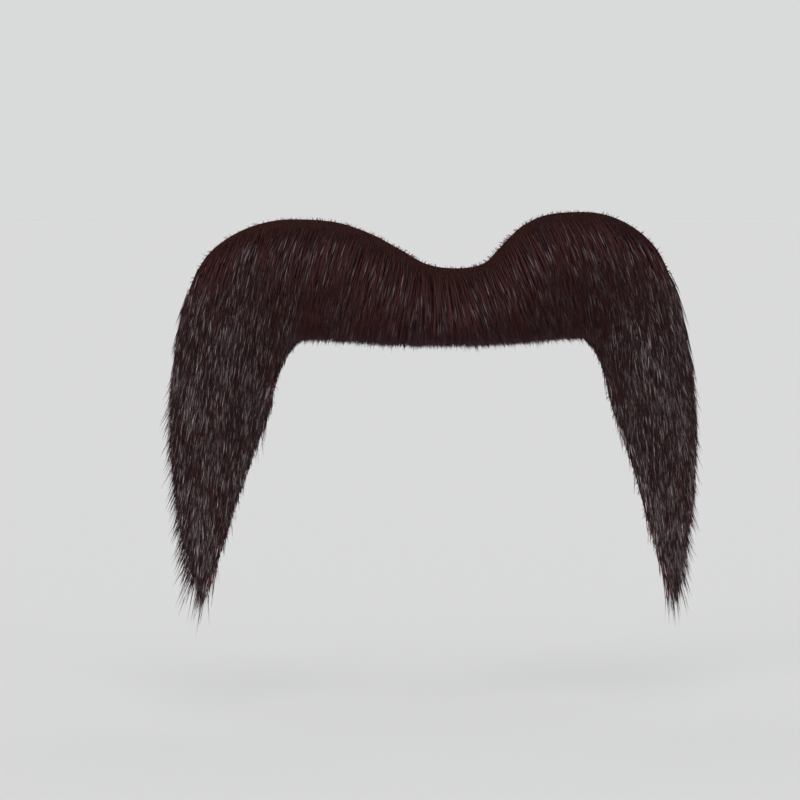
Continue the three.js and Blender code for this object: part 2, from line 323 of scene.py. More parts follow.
def mouldedSlab(name, runs, lanes, mould, sharpAngle=math.radians(50)):
    # A flat slab of unit size, then laid on the face: mould gives a point for each run, share and layer
    bpy.ops.object.select_all(action="DESELECT")
    middle = (0.5, 0.5, 0)
    bpy.ops.mesh.primitive_grid_add(x_subdivisions=runs, y_subdivisions=lanes, size=1, location=middle)
    slab = bpy.context.object
    slab.name = name
    bpy.ops.object.transform_apply(location=True, rotation=False, scale=False)
    bpy.ops.object.mode_set(mode="EDIT")
    bpy.ops.mesh.select_all(action="SELECT")
    bpy.ops.mesh.extrude_region_move(TRANSFORM_OT_translate={"value": (0, 0, 1)})
    bpy.ops.object.mode_set(mode="OBJECT")
    mesh = slab.data
    flat = np.empty(3 * len(mesh.vertices), np.float32)
    mesh.vertices.foreach_get("co", flat)
    flat = flat.reshape(-1, 3).astype(float)
    corners = np.empty(len(mesh.loops), np.int32)
    mesh.loops.foreach_get("vertex_index", corners)
    chart = mesh.uv_layers[0]
    chart.name = "bandChart"
    chart.data.foreach_set("uv", flat[corners, :2].astype(np.float32).ravel())
    points = mould(flat[:, 0], flat[:, 1], flat[:, 2])
    mesh.vertices.foreach_set("co", points.astype(np.float32).ravel())
    mesh.update()
    bpy.ops.object.mode_set(mode="EDIT")
    bpy.ops.mesh.select_all(action="SELECT")
    bpy.ops.mesh.normals_make_consistent(inside=False)
    bpy.ops.object.mode_set(mode="OBJECT")
    bpy.ops.object.shade_smooth_by_angle(angle=sharpAngle)
    return slab


def dress(piece, finish, node):
    piece.data.materials.clear()
    piece.data.materials.append(finish)
    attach(piece, "root")
    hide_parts(node)


print("Making the adhesive film")
film = {
    "runs": 180,  # faces along the band
    "lanes": 8,  # faces across it
    "roundEnd": 0.02,  # share of the run over which each end is rounded
    "endWidth": 0.1,  # share of the width that is left at the very end
    "colour": (0.60, 0.56, 0.47),
    "thinColour": (0.42, 0.38, 0.31),
    "clouds": 140,  # fineness of each pattern
    "grain": 1500,
    "creases": 90,
    "grainHeight": 0.3,  # shares of the bumps' depth
    "creaseHeight": 0.5,
    "bumpStrength": 0.35,
    "bumpDepth": 0.3 * mm,
    "roughness": 0.22,
    "cloudRoughness": 0.25,  # added in the clouds
}


def filmMould(run, share, layer):
    fromEnd = np.minimum(1, np.minimum(run, 1 - run) / film["roundEnd"])
    roundness = np.sqrt(np.clip(1 - (1 - fromEnd) ** 2, film["endWidth"] ** 2, 1))
    bare = (1 - band["filmShare"] * roundness) / 2
    onBand = band["filmEnd"] + run * (1 - 2 * band["filmEnd"])
    place = placeOnBand(onBand, bare + share * (1 - 2 * bare))
    return offSkin(place, layer * band["filmThickness"])


def filmFinish():
    look = Finish("adhesiveFilm")
    place = look.node("ShaderNodeTexCoord", {}, {}, "Object")
    cloud = look.node("ShaderNodeTexNoise", {}, {"Vector": place, "Scale": film["clouds"], "Detail": 4})
    grain = look.node("ShaderNodeTexNoise", {}, {"Vector": place, "Scale": film["grain"], "Detail": 3})
    crease = look.node("ShaderNodeTexNoise", {"noise_type": "RIDGED_MULTIFRACTAL"},
                       {"Vector": place, "Scale": film["creases"], "Detail": 3})
    colour = look.mix(cloud, film["thinColour"], film["colour"])
    height = grain * film["grainHeight"] + crease * film["creaseHeight"]
    bump = look.node("ShaderNodeBump", {}, {
        "Strength": film["bumpStrength"], "Distance": film["bumpDepth"], "Height": height})
    roughness = film["roughness"] + cloud * film["cloudRoughness"]
    return look.surface(Base_Color=colour, Roughness=roughness, Normal=bump)


filmPiece = mouldedSlab("adhesiveFilm", film["runs"], film["lanes"], filmMould)
dress(filmPiece, filmFinish(), "adhesive_film")

print("Making the backing cloth")
cloth = {
    "runs": 240,
    "lanes": 14,
    "stitchWidth": 1.1 * mm,  # one column of knitted loops
    "stitchHeight": 0.8 * mm,
    "runLength": 205 * mm,  # along the middle of the band
    "bandWidth": 15 * mm,
    "rowDip": 3.2,  # how far a row dips between two columns, in radians of its wave
    "columnHeight": 0.45,  # shares of the knit's relief
    "rowHeight": 0.55,
    "fuzz": 2600,  # fineness of each pattern
    "wear": 160,
    "fuzzTint": 0.3,  # share of the fuzz in the colour
    "fuzzHeight": 0.35,
    "bumpStrength": 0.9,
    "bumpDepth": 0.35 * mm,
    "roughness": 0.75,
    "wornRoughness": 0.2,  # added where the cloth is worn
    "dark": (0.010, 0.006, 0.005),
    "light": (0.035, 0.022, 0.018),
    "flatSize": (106 * mm, 65 * mm),
    "flatArea": 29.7e-4,  # square metres
}


def clothMould(run, share, layer):
    return offSkin(placeOnBand(run, share), clothBack + layer * band["clothThickness"])


def clothFinish():
    look = Finish("knittedBacking")
    chart = look.node("ShaderNodeUVMap", {"uv_map": "bandChart"}, {})
    along = look.node("ShaderNodeSeparateXYZ", {}, {"Vector": chart}, "X")
    across = look.node("ShaderNodeSeparateXYZ", {}, {"Vector": chart}, "Y")
    turn = 2 * math.pi
    column = across * (turn * cloth["bandWidth"] / cloth["stitchWidth"])
    columnWave = look.node("ShaderNodeMath", {"operation": "COSINE"}, {0: column})
    halfWave = look.node("ShaderNodeMath", {"operation": "SINE"}, {0: column * 0.5})
    dip = look.node("ShaderNodeMath", {"operation": "ABSOLUTE"}, {0: halfWave})
    row = along * (turn * cloth["runLength"] / cloth["stitchHeight"]) + dip * cloth["rowDip"]
    rowWave = look.node("ShaderNodeMath", {"operation": "SINE"}, {0: row})
    # Both waves are brought from -1 to 1 to 0 to 1
    loops = (columnWave * 0.5 + 0.5) * cloth["columnHeight"] + (rowWave * 0.5 + 0.5) * cloth["rowHeight"]
    place = look.node("ShaderNodeTexCoord", {}, {}, "Object")
    fuzz = look.node("ShaderNodeTexNoise", {}, {"Vector": place, "Scale": cloth["fuzz"], "Detail": 4})
    wear = look.node("ShaderNodeTexNoise", {}, {"Vector": place, "Scale": cloth["wear"], "Detail": 3})
    # Painted shade: the knit is darker in the hollows between its loops and lighter on them, with the fuzz
    # mixed in
    fuzzAndLoopShade = loops * (1 - cloth["fuzzTint"]) + fuzz * cloth["fuzzTint"]
    colour = look.mix(fuzzAndLoopShade, cloth["dark"], cloth["light"])
    height = loops + fuzz * cloth["fuzzHeight"]
    bump = look.node("ShaderNodeBump", {}, {
        "Strength": cloth["bumpStrength"], "Distance": cloth["bumpDepth"], "Height": height})
    roughness = cloth["roughness"] + wear * cloth["wornRoughness"]
    return look.surface(Base_Color=colour, Roughness=roughness, Normal=bump)


backing = mouldedSlab("backingCloth", cloth["runs"], cloth["lanes"], clothMould)
dress(backing, clothFinish(), "backing_cloth")

print("Growing the hair")
hair = {
    "seed": 11,
    "clumps": 14600,
    "perClump": 4,
    "clumpRadius": 0.3 * mm,
    "clumpPull": 0.4,  # how far a clump's hairs close up towards its tip
    "keepChance": 0.12,  # of a place tried for a clump, away from the edges
    "edgeWidth": 2.6 * mm,  # of the denser, shorter hair along the cloth's edges
    "edgeBoost": 2.2,  # how much denser
    "footBoost": 1.2,
    "footReach": 9 * mm,
    "length": 12.5 * mm,
    "lengthSpread": 0.16,
    "lengthLimits": (0.5, 1.4),
    "clumpLengthSpread": 0.1,
    "footLength": 0.12,  # how much longer the hair at the feet is
    "shortShare": 0.55,  # of the hairs along the edges
    "shortLengths": (0.22, 0.6),  # shares of the full length
    "leastLength": 1 * mm,
    "thickness": 0.17 * mm,
    "thicknessShares": (0.7, 1.3),
    "ringShares": np.array([0, 0.3, 0.66, 1]),  # along a strand
    "ringWidths": np.array([0.8, 1, 0.9, 0]),
    "pile": 6.0 * mm,  # height of the fur along the middle of the band
    "pileEdge": 2.8 * mm,
    "lipEdge": 4.8 * mm,
    "lipEdgeFade": 7 * mm,
    "pileFall": 8 * mm,
    "rise": 0.62,  # power by which a hair rises along its way
    "clumpHeightSpread": 0.05,
    "layerDrop": 0.42,  # how much lower than the top ones the lowest hairs lie
    "layerPower": 2.2,  # higher for fewer low hairs
    "partingAt": -2 * mm,  # where the hairs that lean left and right meet
    "partingWidth": 8 * mm,
    "upperLean": 0.31,  # outwards for each unit that a hair drops, as seen from the front
    "armLean": 0.27,
    "tipLean": 0.23,
    "clumpLean": 0.03,  # radians
    "waver": 0.018,
    "waves": (520, 430, 260),  # radians a metre: across, down, and across in the second wave
    "waveShift": 1.3,
    "splay": 0.022,  # radians, of a hair from its clump
    "curl": 0.02,
    "jitter": 0.06 * mm,
    "edgeBow": 0.7 * mm,  # how far the hair along the edges bends out over the cut edge
    "bowShares": (0.2, 1.5),
    "bowLength": 1.6 * mm,
    "wispShare": 0.42,  # of the clumps near an arm's outer edge, which splay out together
    "innerWispShare": 0.08,
    "wispDepth": 3.5 * mm,
    "wispLean": (0.07, 0.28),  # radians
    "stride": 0.5 * mm,  # of the paths that the clumps follow
    "steps": 40,
    "edgeTests": 16,  # places on a strand where it may leave the outline
    "rootPart": 0.4,  # share of a strand that may lie a little outside
    "rootAllowance": 0.3 * mm,
    "strayShare": (0.01, 0.08, 0.22),  # over the lip, and what an arm and a tip add
    "strayLength": (0.5, 1.3, 1.9),  # mm past the outline
    "strayLimit": (1.2, 3.6, 4.2),  # mm
    "wispStray": 0.5,  # what a wisp adds to the share
    "neatStray": 0.22 * mm,  # of the hairs that don't stray
    "likeClump": 0.55,  # share of the hairs with the tone of their clump
    "chartLength": 20 * mm,  # of a hair that fills the chart of tones
    "lipHalf": 13 * mm,  # where the hair is split into pieces
    "humpHalf": 30 * mm,
    "armTop": -10 * mm,
}

# How far below the origin each change in the hair starts and is whole
hairZones = {
    "armLean": (0, 14 * mm),
    "tipLean": (34 * mm, band["armDrop"] + 6 * mm),
    "wisps": (2 * mm, 12 * mm),
    "armStray": (8 * mm, 16 * mm),
    "tipStray": (band["armDrop"] - 4 * mm, band["armDrop"] + 6 * mm),
}


def intoZone(place, zone):
    return smoothStep(-place[..., 1], *hairZones[zone])


def byZone(values, onArm, atTip):
    # A value over the lip, with what an arm and a tip add to it
    overLip, armAdds, tipAdds = values
    return overLip + armAdds * onArm + tipAdds * atTip


def hairDirection(place):
    # Down and outwards, less so on the arms and at their tips. What the rise of the fur adds to a hair's lean
    # is taken off.
    x, z = place[..., 0], place[..., 1]
    fromParting = x - hair["partingAt"]
    lean = hair["upperLean"] + (hair["armLean"] - hair["upperLean"]) * intoZone(place, "armLean")
    lean = lean + (hair["tipLean"] - hair["armLean"]) * intoZone(place, "tipLean")
    lean = lean * np.sign(fromParting) * smoothStep(np.abs(fromParting), 0, hair["partingWidth"])
    lift = skinNormal(x, z)[..., 0] * pileAt(place) / hair["length"]
    direction = np.stack([lean - lift, -np.ones_like(x)], axis=-1)
    return direction / np.linalg.norm(direction, axis=-1, keepdims=True)


def pileAt(place):
    # Height of the fur, which falls towards its edges and less so over the mouth
    depth = np.maximum(0, furDepth(place))
    overMouth = smoothStep(band["mouthHalfWidth"] - np.abs(place[..., 0]), 0, hair["lipEdgeFade"])
    overMouth = np.where(place[..., 1] < 0, overMouth, 0)
    edge = hair["pileEdge"] + (hair["lipEdge"] - hair["pileEdge"]) * overMouth
    share = np.minimum(1, depth / hair["pileFall"])
    return edge + (hair["pile"] - edge) * np.sin(share * math.pi / 2)


def nearFoot(place):
    return smoothStep(place[..., 1], hair["footReach"] - band["armDrop"], -band["armDrop"])


def scatterRoots(rng, count):
    # Places on the cloth, spread over its curved surface, and closer together along the edges and at the feet
    low, high = clothOutline.min(axis=0), clothOutline.max(axis=0)
    found = np.empty((0, 2))
    while len(found) < count:
        place = rng.uniform(low, high, (count, 2))
        facing = -skinNormal(place[:, 0], place[:, 1])[:, 1]
        atEdge = smoothStep(clothDepth(place), hair["edgeWidth"], 0)
        density = (1 + hair["edgeBoost"] * atEdge) * (1 + hair["footBoost"] * nearFoot(place)) / facing
        kept = (clothDepth(place) > 0) & (rng.random(count) < hair["keepChance"] * density)
        found = np.vstack([found, place[kept]])
    return found[:count]


def turned(direction, angle):
    c, s = np.cos(angle)[..., None], np.sin(angle)[..., None]
    x, z = direction[..., :1], direction[..., 1:]
    return np.concatenate([x * c - z * s, x * s + z * c], axis=-1)


def flowPaths(roots, lean):
    # The way that the hair runs from each root
    acrossWave, downWave, slantWave = hair["waves"]
    place = roots.copy()
    paths = [place]
    for _ in range(hair["steps"]):
        x, z = place[:, 0], place[:, 1]
        wave = np.sin(x * acrossWave + hair["waveShift"]) + np.sin(z * downWave + x * slantWave)
        place = place + turned(hairDirection(place), lean + hair["waver"] * wave) * hair["stride"]
        paths.append(place)
    return np.stack(paths, axis=1)


def alongPath(paths, distance):
    # Places at distances along each path, one row of distances for each path
    spot = np.clip(distance / hair["stride"], 0, paths.shape[1] - 1.001)  # ends just short of the last point
    i = spot.astype(int)
    w = (spot - i)[..., None]
    row = np.arange(len(paths))[:, None]
    return paths[row, i] * (1 - w) + paths[row, i + 1] * w


def strandMesh(name, centres, up, radii, tones, reach):
    # Three-sided strands as one mesh. centres is strands by rings by 3, and the last ring is the point of
    # each strand. reach is where on the chart of tones each ring lies, from the root's end.
    strands, rings = centres.shape[:2]
    along = np.gradient(centres, axis=1)
    along /= np.linalg.norm(along, axis=-1, keepdims=True)
    wide = np.cross(along, up)
    wide /= np.linalg.norm(wide, axis=-1, keepdims=True)
    out = np.cross(wide, along)
    turns = 2 * math.pi * (np.arange(3) / 3 + 0.25)
    body = centres[:, :-1, None] + radii[:, :-1, None, None] * (
        wide[:, :-1, None] * np.cos(turns)[:, None] + out[:, :-1, None] * np.sin(turns)[:, None]
    )
    points = np.concatenate([body.reshape(strands, -1, 3), centres[:, -1:]], axis=1)
    perStrand = points.shape[1]
    quads = []
    for ring in range(rings - 2):
        for side in range(3):
            a, b = ring * 3 + side, ring * 3 + (side + 1) % 3
            quads.append((a, b, b + 3, a + 3))
    last = (rings - 2) * 3
    ends = [(last + side, last + (side + 1) % 3, perStrand - 1) for side in range(3)] + [(2, 1, 0)]
    faces = quads + ends
    pattern = np.array([corner for face in faces for corner in face])
    sizes = np.array([len(face) for face in faces])
    acrossTone = np.array([0.15, 0.85, 0.85, 0.15] * len(quads) + [0.15, 0.85, 0.5] * len(ends))
    ringOf = pattern // 3
    corners = (pattern[None] + (np.arange(strands) * perStrand)[:, None]).ravel()
    mesh = bpy.data.meshes.new(name)
    mesh.vertices.add(strands * perStrand)
    mesh.vertices.foreach_set("co", points.astype(np.float32).ravel())
    mesh.loops.add(len(corners))
    mesh.loops.foreach_set("vertex_index", corners.astype(np.int32))
    starts = np.concatenate([[0], np.cumsum(np.tile(sizes, strands))[:-1]])
    mesh.polygons.add(len(starts))
    mesh.polygons.foreach_set("loop_start", starts.astype(np.int32))
    mesh.update(calc_edges=True)
    mesh.polygons.foreach_set("use_smooth", np.ones(len(starts), bool))
    chart = np.empty((strands, len(pattern), 2), np.float32)
    chart[..., 0] = (tones[:, None] + acrossTone[None]) / hairTones["count"]
    # The second axis places the painted root shade and the painted glints along each hair
    chart[..., 1] = np.clip(reach[:, ringOf], 0, 1)
    chart[:, -1, 1] += 0.02  # gives the face at the root an area on the chart
    mesh.uv_layers.new(name="OFBake").data.foreach_set("uv", chart.ravel())
    piece = bpy.data.objects.new(name, mesh)
    bpy.context.scene.collection.objects.link(piece)
    return piece


# Where each kind of hair starts in the row of tones. The glint hairs carry painted highlights in their
# colour.
toneStarts = {"dark": 0, "red": 0.42, "cool": 0.66, "glint": 0.8, "end": 1}
darkKind, redKind, coolKind, glintKind = range(4)

# Zones are in mm, from where they start to where they are whole. Three values are one over the lip and what
# an arm and a tip add to it.
hairTones = {
    "count": 64,
    "armAcross": (20, 36),
    "armDown": (-10, 12),
    "tipDown": (28, 48),
    "topDepth": (10, 2),
    "topUp": (-5, 4),
    "lipDepth": (3.5, 0.5),
    # Painted highlights: how many hairs carry glints, how bright they are, and where they thin out
    "glintShare": (0.32, 0.14, 0.08),
    "redShare": (0.50, -0.44, 0.46),
    "coolShare": (0.1, 0.25, 0.05),
    "redAtTop": 0.30,
    "dullTop": 0.95,  # share of the glints that is lost along the upper edges
    "dullLip": 0.2,
    "glintFrom": (0, 0.3, 0.1),  # brightness of the faintest
    "glintRange": (0.13, 0.41, 0),
    "patch": (7, 26),  # mm across and down, of the spots with more or fewer glints
    "patchDepth": 0.45,
    "patchSlants": (0.3, 0.4),
    "patchShift": 1,
}


def toneOf(place, kindDice, shareDice):
    # Redder hair above the mouth and towards the upper edges, and brighter, commoner painted glints on the
    # arms
    x, z, depth = place[:, 0] / mm, place[:, 1] / mm, furDepth(place) / mm
    onArm = smoothStep(np.abs(x), *hairTones["armAcross"]) * smoothStep(-z, *hairTones["armDown"])
    atTip = smoothStep(-z, *hairTones["tipDown"])
    atTop = smoothStep(depth, *hairTones["topDepth"]) * smoothStep(z, *hairTones["topUp"])
    atLip = smoothStep(depth, *hairTones["lipDepth"]) * (1 - onArm) * (z < 0)
    across, down = 2 * math.pi / np.array(hairTones["patch"])
    slant, crossSlant = hairTones["patchSlants"]
    patch = np.sin(across * x + slant * down * z)
    patch *= np.sin(down * z - crossSlant * across * x + hairTones["patchShift"])
    # Share of the hairs with painted glints, fewer along the upper edges and along the lower edge over the
    # lip
    glint = byZone(hairTones["glintShare"], onArm, atTip) * (1 + hairTones["patchDepth"] * patch)
    glint *= (1 - hairTones["dullTop"] * atTop) * (1 - hairTones["dullLip"] * atLip)
    red = (1 - glint) * (byZone(hairTones["redShare"], onArm, atTip) + hairTones["redAtTop"] * atTop)
    cool = (1 - glint - red) * byZone(hairTones["coolShare"], onArm, atTip)
    kind = np.select([kindDice < glint, kindDice < glint + red, kindDice < glint + red + cool],
                     [glintKind, redKind, coolKind], darkKind)
    brightness = byZone(hairTones["glintRange"], onArm, atTip) * shareDice
    brightness += byZone(hairTones["glintFrom"], onArm, atTip)
    share = np.where(kind == glintKind, np.clip(brightness, 0, 1), shareDice)
    starts = np.array(list(toneStarts.values()))
    tone = starts[kind] + (starts[kind + 1] - starts[kind]) * share
    return np.minimum(hairTones["count"] - 1, np.round(tone * hairTones["count"]).astype(int))


hairColours = {
    "tones": [  # along the row of tones
        (0.0, (0.052, 0.019, 0.019)),
        (0.40, (0.078, 0.029, 0.030)),
        (0.44, (0.068, 0.020, 0.020)),
        (0.64, (0.088, 0.028, 0.027)),
        (0.68, (0.038, 0.028, 0.030)),
        (0.78, (0.070, 0.055, 0.060)),
        (0.82, (0.044, 0.020, 0.021)),
        (1.0, (0.062, 0.030, 0.031)),
    ],
    # Painted shade: the colour darkens towards each hair's root, where the hairs lie under one another
    "shade": [(0.0, 0.45), (0.20, 0.82), (0.5, 1.0)],  # from the root along a hair
    # Painted highlights: the dash and the glint colours below paint light streaks along the glint hairs
    "dash": [(0.0, 0), (0.24, 0), (0.38, 1), (0.60, 1), (0.74, 0)],  # a glint, dark before and after
    "glintBeats": 3.6,  # glints on the length of the chart
    "beatShift": 0.37,  # from one tone's glints to the next one's
    "glintStart": (0.08, 0.26),  # where along a hair the glints come in
    "faintGlint": (0.085, 0.066, 0.07),
    "brightGlint": (0.60, 0.51, 0.525),
    "roughness": 0.55,
    "glintGloss": 0.15,  # taken off the roughness
    "shine": 0.08,
}


def greys(stops):
    return [(position, (level,) * 3) for position, level in stops]


def hairFinish():
    look = Finish("brownBlackHair")
    chart = look.node("ShaderNodeUVMap", {"uv_map": "OFBake"}, {})
    tone = look.node("ShaderNodeSeparateXYZ", {}, {"Vector": chart}, "X")
    along = look.node("ShaderNodeSeparateXYZ", {}, {"Vector": chart}, "Y")
    colour = look.node("ShaderNodeValToRGB", {"stops": hairColours["tones"]}, {"Fac": tone})
    shade = look.node("ShaderNodeValToRGB", {"stops": greys(hairColours["shade"])}, {"Fac": along})
    # Painted highlights: light dashes along the glint hairs, in the base colour
    column = look.node("ShaderNodeMath", {"operation": "FLOOR"}, {0: tone * hairTones["count"]})
    shift = look.node("ShaderNodeMath", {"operation": "FRACT"}, {0: column * hairColours["beatShift"]})
    beats = along * hairColours["glintBeats"] + shift
    beat = look.node("ShaderNodeMath", {"operation": "FRACT"}, {0: beats})
    dash = look.node("ShaderNodeValToRGB", {"stops": greys(hairColours["dash"])}, {"Fac": beat})
    glints = look.node("ShaderNodeMath", {"operation": "GREATER_THAN"}, {0: tone, 1: toneStarts["glint"]})
    # Sockets 1 and 2 of a Map Range are where it starts and ends
    start, end = hairColours["glintStart"]
    pastRoot = look.node("ShaderNodeMapRange", {}, {0: along, 1: start, 2: end})
    brightness = look.node("ShaderNodeMapRange", {}, {0: tone, 1: toneStarts["glint"], 2: toneStarts["end"]})
    glint = look.mix(brightness, hairColours["faintGlint"], hairColours["brightGlint"])
    # Painted shade, darker towards each hair's root
    base = look.mix(1.0, colour, shade, "MULTIPLY")
    # The painted glints are laid over it, past each hair's root
    base = look.mix(dash * glints * pastRoot, base, glint)
    roughness = hairColours["roughness"] - glints * hairColours["glintGloss"]
    return look.surface(Base_Color=base, Roughness=roughness, Specular_IOR_Level=hairColours["shine"])


rng = np.random.default_rng(hair["seed"])
clumpRoots = scatterRoots(rng, hair["clumps"])
clumpDepth = clothDepth(clumpRoots)
aimed, outward = hairDirection(clumpRoots), towardsEdge(clumpRoots)
outwardTurn = np.sign(aimed[:, 0] * outward[:, 1] - aimed[:, 1] * outward[:, 0])
facesOut = outward[:, 0] * clumpRoots[:, 0] > 0
wispShare = np.where(facesOut, hair["wispShare"], hair["innerWispShare"])
clumpIsWisp = rng.random(hair["clumps"]) < wispShare * intoZone(clumpRoots, "wisps")
clumpIsWisp &= clumpDepth < hair["wispDepth"]
clumpLean = rng.normal(0, hair["clumpLean"], hair["clumps"]) * ~clumpIsWisp
clumpLean += outwardTurn * rng.uniform(*hair["wispLean"], hair["clumps"]) * clumpIsWisp
clumpPaths = flowPaths(clumpRoots, clumpLean)
clumpLengths = hair["length"] * (1 + hair["clumpLengthSpread"] * rng.normal(size=hair["clumps"]))
clumpLengths *= 1 + hair["footLength"] * nearFoot(clumpRoots)
clumpHeights = 1 + hair["clumpHeightSpread"] * rng.normal(size=hair["clumps"])
clumpKind, clumpShare = rng.random((2, hair["clumps"]))

owner = np.repeat(np.arange(hair["clumps"]), hair["perClump"])
offset = rng.normal(0, hair["clumpRadius"], (len(owner), 2))
rooted = clothDepth(clumpRoots[owner] + offset) > 0
owner, offset = owner[rooted], offset[rooted]
roots = clumpRoots[owner] + offset
count = len(owner)
atEdge = smoothStep(clothDepth(roots), hair["edgeWidth"], 0)
isShort = rng.random(count) < hair["shortShare"] * atEdge
shortening = np.where(isShort, rng.uniform(*hair["shortLengths"], count), 1)
varied = np.clip(1 + hair["lengthSpread"] * rng.normal(size=count), *hair["lengthLimits"])
fullLength = clumpLengths[owner] * varied * shortening
layer = 1 - hair["layerDrop"] * rng.random(count) ** hair["layerPower"]
splay = rng.normal(0, hair["splay"], count)
curl = rng.normal(0, hair["curl"], count)
bow = hair["edgeBow"] * atEdge * rng.uniform(*hair["bowShares"], count)
outwards = towardsEdge(roots)
sideways = turned(hairDirection(roots), np.full(count, math.pi / 2))


def strandPlaces(distance):
    # Places of each strand at the given distances from its root
    share = distance / fullLength[:, None]
    centre = alongPath(clumpPaths[owner], distance)
    pull = 1 - hair["clumpPull"] * share
    bent = bow[:, None] * np.sin(np.minimum(1, distance / hair["bowLength"]) * math.pi / 2)
    aside = splay[:, None] * distance + curl[:, None] * distance * share
    inClump = offset[:, None] * pull[..., None]
    overEdge = outwards[:, None] * bent[..., None]
    return centre + inClump + sideways[:, None] * aside[..., None] + overEdge


# Each strand ends near where it leaves the fur's outline
tests = np.linspace(0, 1, hair["edgeTests"])
allowance = hair["rootAllowance"] * (tests < hair["rootPart"])
room = furDepth(strandPlaces(tests[None] * fullLength[:, None])) + allowance
outside = room < 0
firstOut = np.where(outside.any(axis=1), outside.argmax(axis=1), len(tests) - 1)
firstOut = np.maximum(firstOut, 1)
rows = np.arange(count)
before, after = room[rows, firstOut - 1], room[rows, firstOut]
between = np.where(after < 0, before / np.maximum(before - after, tiny), 1)
exitShare = (firstOut - 1 + np.clip(between, 0, 1)) / (len(tests) - 1)
exitPlace = strandPlaces((exitShare * fullLength)[:, None])[:, 0]
onArm, atTip = intoZone(exitPlace, "armStray"), intoZone(exitPlace, "tipStray")
strayChance = byZone(hair["strayShare"], onArm, atTip) + hair["wispStray"] * clumpIsWisp[owner]
straying = rng.random(count) < strayChance
meanStray = np.where(straying, byZone(hair["strayLength"], onArm, atTip) * mm, hair["neatStray"])
strayed = np.minimum(rng.exponential(meanStray), byZone(hair["strayLimit"], onArm, atTip) * mm)
length = np.where(exitShare < 1, np.minimum(exitShare * fullLength + strayed, fullLength), fullLength)
kept = length > hair["leastLength"]
print("Strands:", int(kept.sum()), "of", count)

distance = hair["ringShares"][None] * length[:, None]
places = strandPlaces(distance)
places[:, 1:] += rng.normal(0, hair["jitter"], places[:, 1:].shape) * hair["ringShares"][1:, None]
rise = (distance / fullLength[:, None]) ** hair["rise"] * shortening[:, None]
height = clothFront + pileAt(places) * rise * (layer * clumpHeights[owner])[:, None]
centres = offSkin(places, height)
up = skinNormal(places[..., 0], places[..., 1])
thickness = hair["thickness"] * rng.uniform(*hair["thicknessShares"], count)
radii = thickness[:, None] / 2 * hair["ringWidths"][None]
withClump = rng.random(count) < hair["likeClump"]
kindDice = np.where(withClump, clumpKind[owner], rng.random(count))
shareDice = np.where(withClump, clumpShare[owner], rng.random(count))
tones = toneOf(places[:, -1], kindDice, shareDice)

hairLook = hairFinish()
rootPlace = clumpRoots[owner]
fromMiddle = np.abs(rootPlace[:, 0])
isArm = rootPlace[:, 1] < hair["armTop"]
isInner = fromMiddle < hair["humpHalf"]
regions = {"lipHair": fromMiddle < hair["lipHalf"]}
for sideName, side in (("Left", -1), ("Right", 1)):
    ofSide = rootPlace[:, 0] * side >= hair["lipHalf"]
    regions["humpHair" + sideName] = ofSide & ~isArm & isInner
    regions["cheekHair" + sideName] = ofSide & ~isArm & ~isInner
    regions["armHair" + sideName] = ofSide & isArm

for name, chosen in regions.items():
    chosen = chosen & kept
    reach = distance[chosen] / hair["chartLength"]
    piece = strandMesh(name, centres[chosen], up[chosen], radii[chosen], tones[chosen], reach)
    dress(piece, hairLook, "fur_pile")
    print(name, int(chosen.sum()), "strands")

print("Making the fuzz on the cut edge")
fuzz = {
    "perMetre": 13000,
    "length": (0.5 * mm, 1.1 * mm),
    "rooted": (-0.25 * mm, 0.6 * mm),  # how far inside the edge
    "rise": 0.9 * mm,  # how far above the cloth
    "thickness": 0.12 * mm,
    "lean": 0.5,  # radians
    "flow": 0.6,  # how much it runs the way of the hair
    "lift": (0.1, 0.3),  # mean and spread of its rise along its length
    "pastOutline": 0.15 * mm,  # how far past the fur's outline it may reach
    "leastReach": 0.3 * mm,
    "leastOutwards": 0.3,
    # The fuzz starts partway along the chart, past the darkest of the painted root shade
    "chartStart": 0.3,
    "ringShares": np.array([0, 0.5, 1]),
    "ringWidths": np.array([1, 0.85, 0]),
}


def edgeFuzz():
    ends = np.roll(clothOutline, -1, axis=0)
    lengths = np.linalg.norm(ends - clothOutline, axis=1)
    count = int(lengths.sum() * fuzz["perMetre"])
    side = rng.choice(len(lengths), count, p=lengths / lengths.sum())
    share = rng.random(count)[:, None]
    start = clothOutline[side] * (1 - share) + ends[side] * share
    along = (ends[side] - clothOutline[side]) / lengths[side][:, None]
    out = turned(along, np.full(count, math.pi / 2))
    root = start - out * rng.uniform(*fuzz["rooted"], count)[:, None]
    flow = hairDirection(root)
    sidewards = flow - out * np.minimum(0, (flow * out).sum(axis=1))[:, None]
    aim = turned(out, rng.normal(0, fuzz["lean"], count)) + fuzz["flow"] * sidewards
    distance = fuzz["ringShares"][None] * rng.uniform(*fuzz["length"], count)[:, None]
    room = np.maximum(fuzz["leastReach"], furDepth(root) + fuzz["pastOutline"])
    outShare = (aim * out).sum(axis=1).clip(fuzz["leastOutwards"])
    distance *= np.minimum(1, room / (distance[:, -1] * outShare))[:, None]
    places = root[:, None] + aim[:, None] * distance[..., None]
    level = rng.uniform(clothBack, clothFront + fuzz["rise"], count)
    height = level[:, None] + rng.normal(*fuzz["lift"], count)[:, None] * distance
    up = skinNormal(places[..., 0], places[..., 1])
    thickness = fuzz["thickness"] * rng.uniform(*hair["thicknessShares"], count)
    radii = thickness[:, None] / 2 * fuzz["ringWidths"][None]
    tones = toneOf(root, *rng.random((2, count)))
    reach = fuzz["chartStart"] + distance / hair["chartLength"]
    return strandMesh("edgeFuzz", offSkin(places, height), up, radii, tones, reach)


dress(edgeFuzz(), hairLook, "fur_pile")

print("Making the undercoat")
